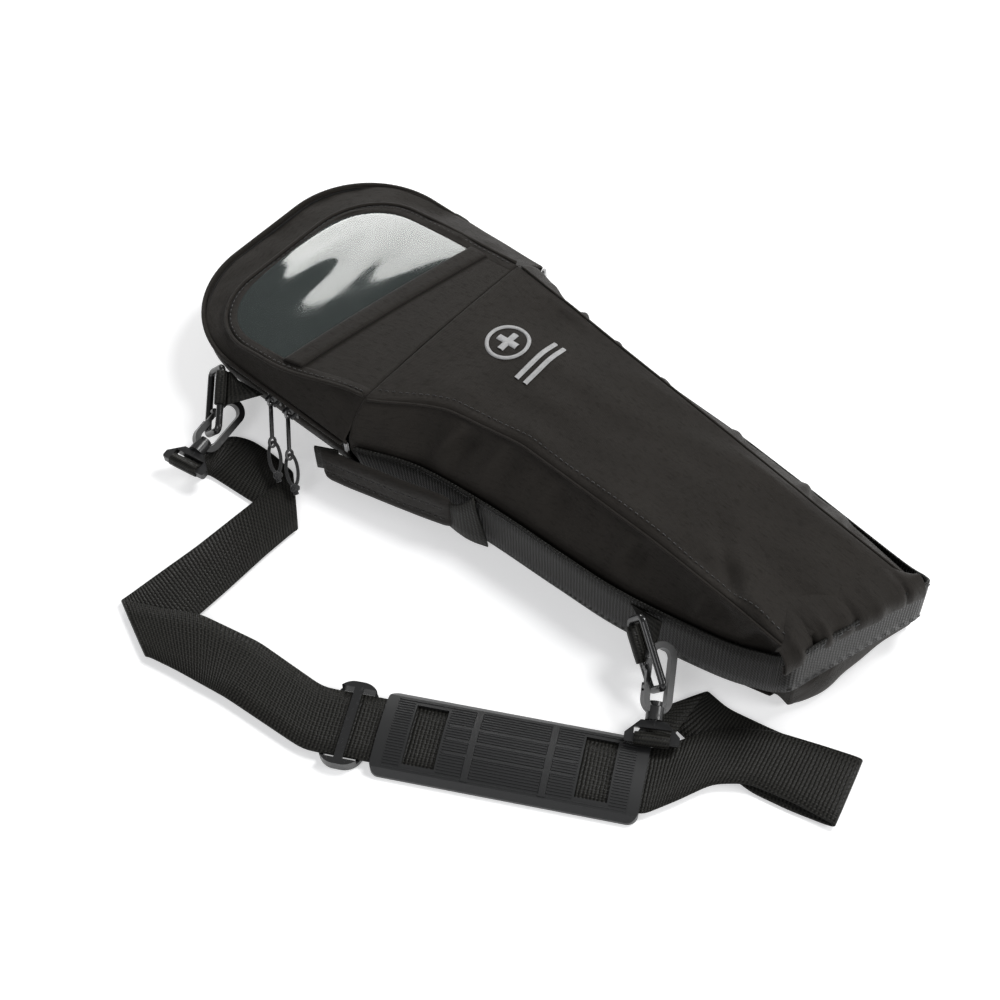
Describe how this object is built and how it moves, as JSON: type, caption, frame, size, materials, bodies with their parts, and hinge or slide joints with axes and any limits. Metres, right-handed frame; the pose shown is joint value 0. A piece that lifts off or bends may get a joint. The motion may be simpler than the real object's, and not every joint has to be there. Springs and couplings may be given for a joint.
{
  "type": "oxygen cylinder carry bag",
  "caption": "Collapsed soft shoulder bag for a portable oxygen cylinder: zipped lid with clear window, carry handle, ringed sling strap with snap hooks and a sliding pad.",
  "frame": {"origin": "on the back panel's outer face, the face the bag lies on, under the middle of the bag's body", "axes": "+X towards the foot, -X towards the lid and its window, -Y towards the strap and carry handle, +Z out of the front panel"},
  "size_m": [0.6301, 0.4339, 0.0806],
  "materials": {
    "shell_polyester": "plain-weave padded polyester, matt, warm black",
    "lining_polyester": "smooth lining cloth",
    "foam": "closed foam behind cloth",
    "grip_polyester": "plain-weave polyester over a stiff core",
    "wide_webbing": "ribbed polypropylene webbing, slight sheen",
    "clear_vinyl": "clear flexible vinyl sheet, glossy",
    "piping": "corded edge in the shell cloth",
    "zip_tape": "nylon coil on woven tape",
    "tack_thread": "pale bar tack thread",
    "embroidery_thread": "light grey satin-stitch thread",
    "slider_metal": "black enamel",
    "pull_metal": "black enamel worn bright on the edges",
    "cord": "round braided cord",
    "ring_plastic": "moulded acetal, semi-gloss",
    "hook_plastic": "moulded acetal, semi-gloss",
    "glide_plastic": "moulded acetal, semi-gloss",
    "pad_rubber": "ribbed rubber, satin"
  },
  "bodies": {
    "bag": {"back_panel": "shell_polyester", "front_panel": "shell_polyester", "side_gusset_left": "shell_polyester", "side_gusset_right": "shell_polyester", "foot_panel": "shell_polyester", "foot_lining": "lining_polyester", "back_padding": "foam", "head_wall": "shell_polyester", "web_sling": "wide_webbing", "hang_loop": "wide_webbing", "emblem": "embroidery_thread", "zip_chain_bag": "zip_tape", "zip_end_tacks": "tack_thread", "handle_anchors": "wide_webbing"},
    "lid": {"lid_border": "shell_polyester", "lid_panel": "shell_polyester", "window": "clear_vinyl", "window_hem": "shell_polyester", "lid_piping": "piping", "zip_chain_lid": "zip_tape"},
    "slider_a": {"zip_slider_a": "slider_metal"},
    "slider_b": {"zip_slider_b": "slider_metal"},
    "pull_a": {"zip_pull_a": "pull_metal"},
    "pull_b": {"zip_pull_b": "pull_metal"},
    "cord_a": {"pull_cord_a": "cord"},
    "cord_b": {"pull_cord_b": "cord"},
    "handle": {"handle_core": "foam", "handle_grip": "grip_polyester"},
    "strap": {"shoulder_strap": "wide_webbing", "hook_base_upper": "hook_plastic", "hook_base_lower": "hook_plastic", "ring_tab_upper": "wide_webbing", "ring_tab_lower": "wide_webbing"},
    "ring_upper": {"ring_upper": "ring_plastic"},
    "ring_lower": {"ring_lower": "ring_plastic"},
    "hook_upper": {"hook_upper": "hook_plastic"},
    "hook_lower": {"hook_lower": "hook_plastic"},
    "gate_upper": {"hook_gate_upper": "hook_plastic"},
    "gate_lower": {"hook_gate_lower": "hook_plastic"},
    "glide": {"tri_glide": "glide_plastic"},
    "pad": {"shoulder_pad": "pad_rubber"}
  },
  "joints": [
    {"name": "lid_fold", "type": "hinge", "parent": "bag", "child": "lid", "pos_m": [-0.112, 0, 0.0802], "axis": [0, 1, 0], "range_deg": [0, 120]},
    {"name": "slider_a_slide", "type": "slide", "parent": "bag", "child": "slider_a", "axis": [1, 0, 0], "range_m": [-0.01, 0]},
    {"name": "slider_b_slide", "type": "slide", "parent": "bag", "child": "slider_b", "axis": [1, 0, 0], "range_m": [0, 0.018]},
    {"name": "pull_a_flip", "type": "hinge", "parent": "slider_a", "child": "pull_a", "pos_m": [-0.186, -0.117, 0.042], "axis": [-1, 0, 0], "range_deg": [-10, 95]},
    {"name": "cord_a_swing", "type": "hinge", "parent": "pull_a", "child": "cord_a", "pos_m": [-0.17184, -0.13297, 0.02091], "axis": [-0.8816, -0.2849, -0.3763], "range_deg": [-6, 60]},
    {"name": "pull_b_flip", "type": "hinge", "parent": "slider_b", "child": "pull_b", "pos_m": [-0.168, -0.117, 0.042], "axis": [-1, 0, 0], "range_deg": [-10, 95]},
    {"name": "cord_b_swing", "type": "hinge", "parent": "pull_b", "child": "cord_b", "pos_m": [-0.15384, -0.13297, 0.02091], "axis": [-0.8816, -0.2849, -0.3763], "range_deg": [-6, 60]},
    {"name": "handle_swing", "type": "hinge", "parent": "bag", "child": "handle", "pos_m": [-0.12, -0.119, 0.038], "axis": [-0.974, -0.2181, -0.0609], "range_deg": [0, 100]},
    {"name": "strap_swing", "type": "hinge", "parent": "bag", "child": "strap", "pos_m": [-0.21, -0.1155, 0.039], "axis": [-0.9948, -0.1012, -0.0086], "range_deg": [0, 44], "deforming": ["pull_cord_a", "pull_cord_b"]},
    {"name": "ring_upper_turn", "type": "hinge", "parent": "strap", "child": "ring_upper", "pos_m": [-0.22681, -0.12939, 0.03797], "axis": [-0.5771, 0.7135, 0.3973], "range_deg": [-4, 4]},
    {"name": "hook_upper_swivel", "type": "hinge", "parent": "strap", "child": "hook_upper", "pos_m": [-0.209, -0.187, 0.0165], "axis": [-0.17, 0.9852, 0.02], "range_deg": [-8, 8]},
    {"name": "gate_upper_press", "type": "hinge", "parent": "hook_upper", "child": "gate_upper", "pos_m": [-0.22091, -0.15467, 0.0225], "axis": [-0.6417, -0.0953, -0.761], "range_deg": [0, 20]},
    {"name": "ring_lower_turn", "type": "hinge", "parent": "strap", "child": "ring_lower", "pos_m": [0.14618, -0.09852, 0.03176], "axis": [-0.759, 0.4573, 0.4635], "range_deg": [-4, 4]},
    {"name": "hook_lower_swivel", "type": "hinge", "parent": "strap", "child": "hook_lower", "pos_m": [0.193, -0.141, 0.0145], "axis": [-0.5003, 0.8004, 0.3302], "range_deg": [-8, 8]},
    {"name": "gate_lower_press", "type": "hinge", "parent": "hook_lower", "child": "gate_lower", "pos_m": [0.1702, -0.11869, 0.02884], "axis": [-0.5018, 0.0428, -0.8639], "range_deg": [0, 20]},
    {"name": "glide_slide", "type": "slide", "parent": "strap", "child": "glide", "axis": [0.8805, 0.4741, 0], "range_m": [-0.008, 0]},
    {"name": "pad_slide", "type": "slide", "parent": "strap", "child": "pad", "axis": [0.8805, 0.4741, 0], "range_m": [-0.004, 0.004]}
  ]
}
